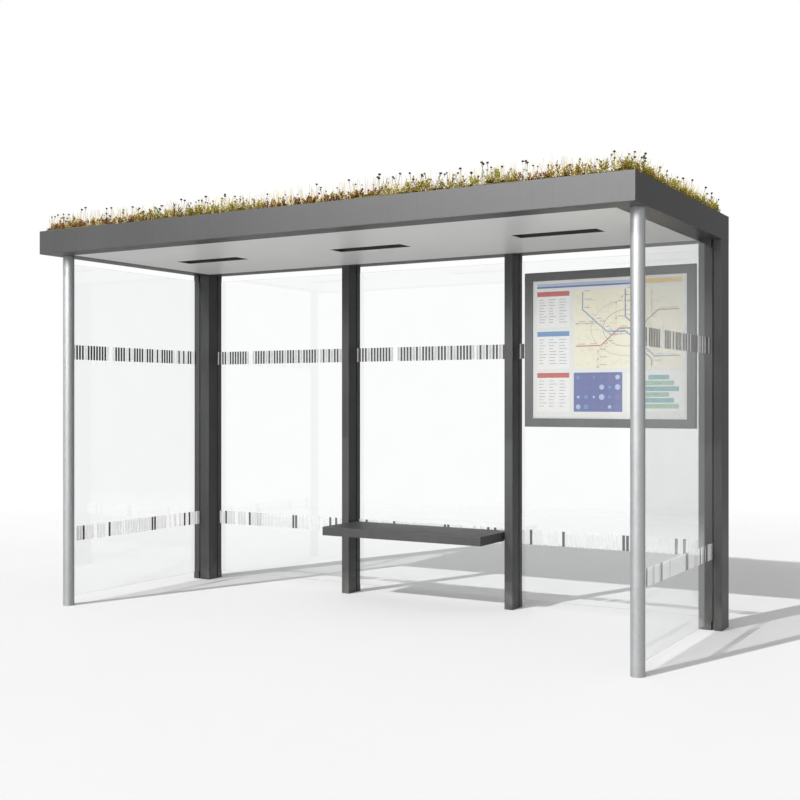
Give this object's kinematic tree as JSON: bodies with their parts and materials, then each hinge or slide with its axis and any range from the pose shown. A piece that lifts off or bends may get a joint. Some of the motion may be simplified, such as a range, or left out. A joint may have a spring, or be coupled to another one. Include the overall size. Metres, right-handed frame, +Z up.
{
  "type": "bus shelter",
  "caption": "Open-fronted bus shelter with a flat planted roof on slim posts and columns, glass on three sides, a bench and a map case.",
  "frame": {"origin": "on the ground below the middle of the roof", "axes": "+X along the shelter to the right as seen from its open front, +Y to the rear glass, +Z up"},
  "size_m": [4.186, 1.74, 2.621],
  "materials": {
    "anthracite_coat": "satin anthracite powder coat",
    "galvanised_steel": "hot-dip galvanised, left bare and dull",
    "ceiling_sheet": "light grey semi-gloss coat",
    "clear_glass": "clear toughened float glass",
    "gasket_rubber": "black extruded rubber",
    "lamp_housing": "dark matt coat",
    "lamp_lens": "smoked grey diffuser sheet",
    "growing_medium": "loose crushed brick and compost mix",
    "sedum": "low sedum planting on its fibre mat",
    "case_coat": "mid grey satin coat",
    "clear_plastic": "clear sheet",
    "printed_sheet": "printed paper, satin",
    "mounting_tape": "black foam mounting tape"
  },
  "bodies": {
    "root": {"bench_bracket_left": "anthracite_coat", "bench_bracket_right": "anthracite_coat", "bench_seat": "anthracite_coat", "corner_clamp_left": "anthracite_coat", "corner_clamp_right": "anthracite_coat", "corner_post_left": "anthracite_coat", "corner_post_right": "anthracite_coat", "front_column_left": "galvanised_steel", "front_column_right": "galvanised_steel", "lamp_housing_left": "lamp_housing", "lamp_housing_middle": "lamp_housing", "lamp_housing_right": "lamp_housing", "lamp_lens_left": "lamp_lens", "lamp_lens_middle": "lamp_lens", "lamp_lens_right": "lamp_lens", "map_case_back": "case_coat", "map_case_bar_bottom": "case_coat", "map_case_bar_left": "case_coat", "map_case_bar_right": "case_coat", "map_case_bar_top": "case_coat", "map_case_tapes": "mounting_tape", "map_case_window": "clear_plastic", "map_sheet": "printed_sheet", "rear_clamp_left": "anthracite_coat", "rear_clamp_right": "anthracite_coat", "rear_glass_gaskets": "gasket_rubber", "rear_glass_left": "clear_glass", "rear_glass_middle": "clear_glass", "rear_glass_right": "clear_glass", "rear_post_left": "anthracite_coat", "rear_post_right": "anthracite_coat", "roof_beam_front": "anthracite_coat", "roof_beam_left": "anthracite_coat", "roof_beam_rear": "anthracite_coat", "roof_beam_right": "anthracite_coat", "roof_deck": "galvanised_steel", "roof_substrate": "growing_medium", "sedum_mat": "sedum", "side_glass_gaskets": "gasket_rubber", "side_glass_left": "clear_glass", "side_glass_right": "clear_glass", "soffit_panel": "ceiling_sheet"}
  },
  "joints": []
}
